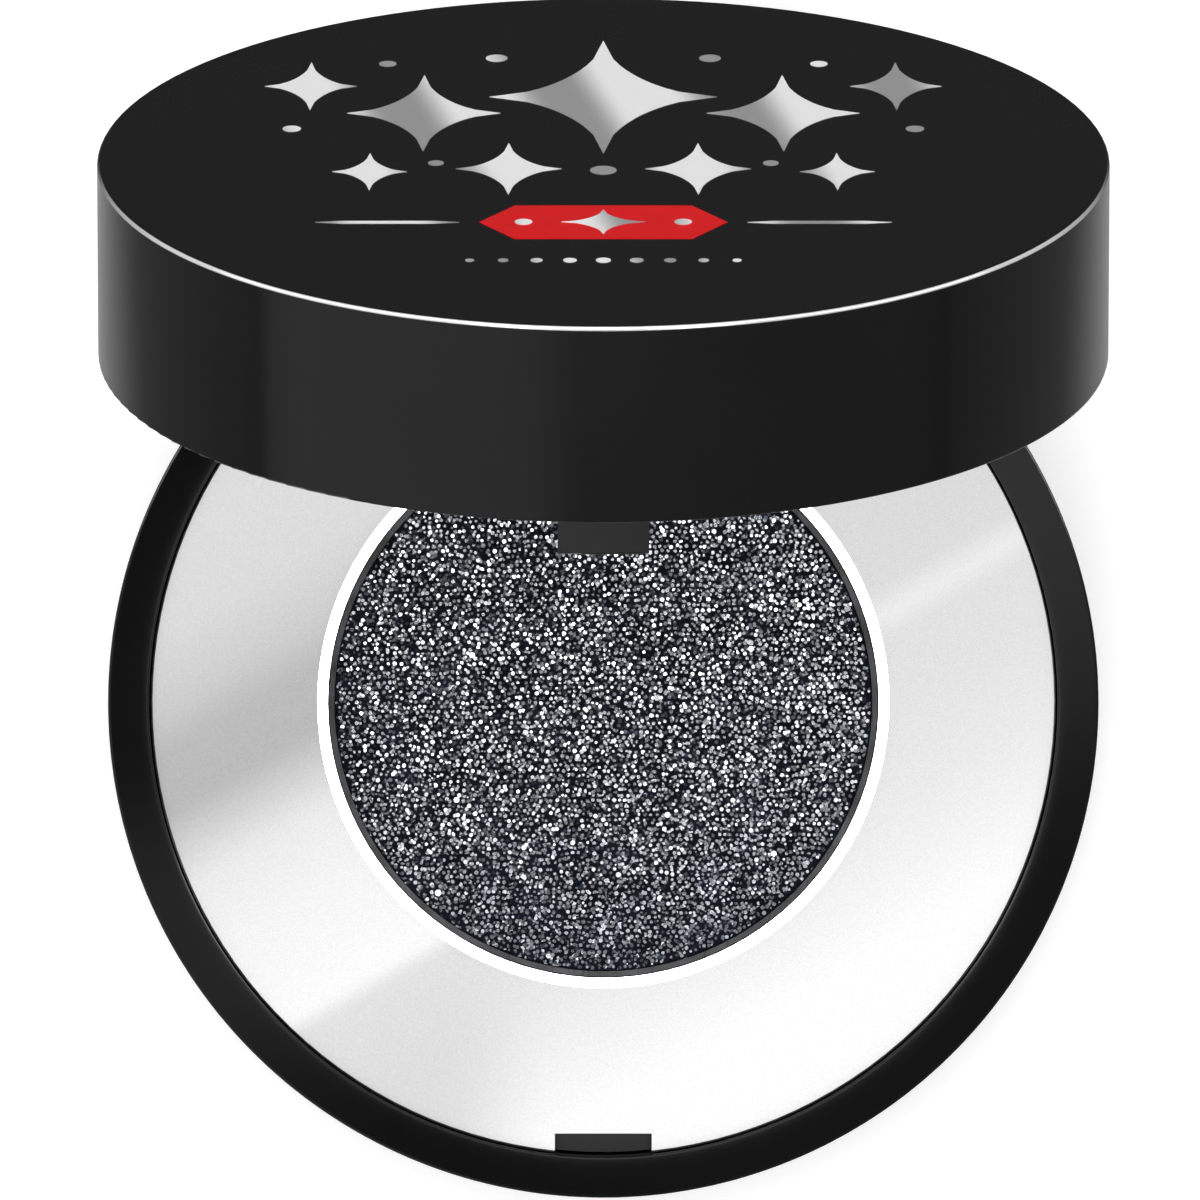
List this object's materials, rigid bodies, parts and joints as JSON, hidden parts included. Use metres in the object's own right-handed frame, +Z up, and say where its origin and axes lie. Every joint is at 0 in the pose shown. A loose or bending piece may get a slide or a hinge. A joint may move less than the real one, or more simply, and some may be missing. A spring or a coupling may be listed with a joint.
{
  "type": "eyeshadow compact",
  "caption": "Round flat-topped eyeshadow compact: low base with a satin ring round a pressed powder pan, and a rear-hinged lid with a mirror and a front catch tab.",
  "frame": {"origin": "centre of the base's underside, on the surface that the compact stands on", "axes": "+Z up, +Y towards the hinge, -Y towards the catch, +X to the right when the catch faces the viewer"},
  "size_m": [0.046, 0.0556, 0.0536],
  "materials": {
    "black_plastic": "polished black moulding",
    "liner_plastic": "black moulding, slightly satin",
    "label_film": "blank printed film",
    "satin_silver": "fine satin grain with a polished lip",
    "print_foil": "thin hot-stamped silver foil",
    "print_enamel": "screen-printed red ink",
    "glue": "clear hot-melt",
    "tinplate": "bright tinplate",
    "powder": "pressed powder with glitter",
    "pin_steel": "drawn wire",
    "tape_foam": "white foam tape",
    "mirror_glass": "silvered glass"
  },
  "bodies": {
    "base": {"base_shell": "black_plastic", "bottom_label": "label_film", "silver_ring": "satin_silver", "pan_glue": "glue", "pan": "tinplate", "pressed_powder": "powder", "hinge_pin": "pin_steel"},
    "lid": {"lid_shell": "black_plastic", "lid_liner": "liner_plastic", "mirror_tape": "tape_foam", "mirror": "mirror_glass"}
  },
  "joints": [
    {"name": "lid_hinge", "type": "hinge", "parent": "base", "child": "lid", "pos_m": [0, 0.0236, 0.00655], "axis": [-1, 0, 0], "range_deg": [-70, 55]}
  ]
}
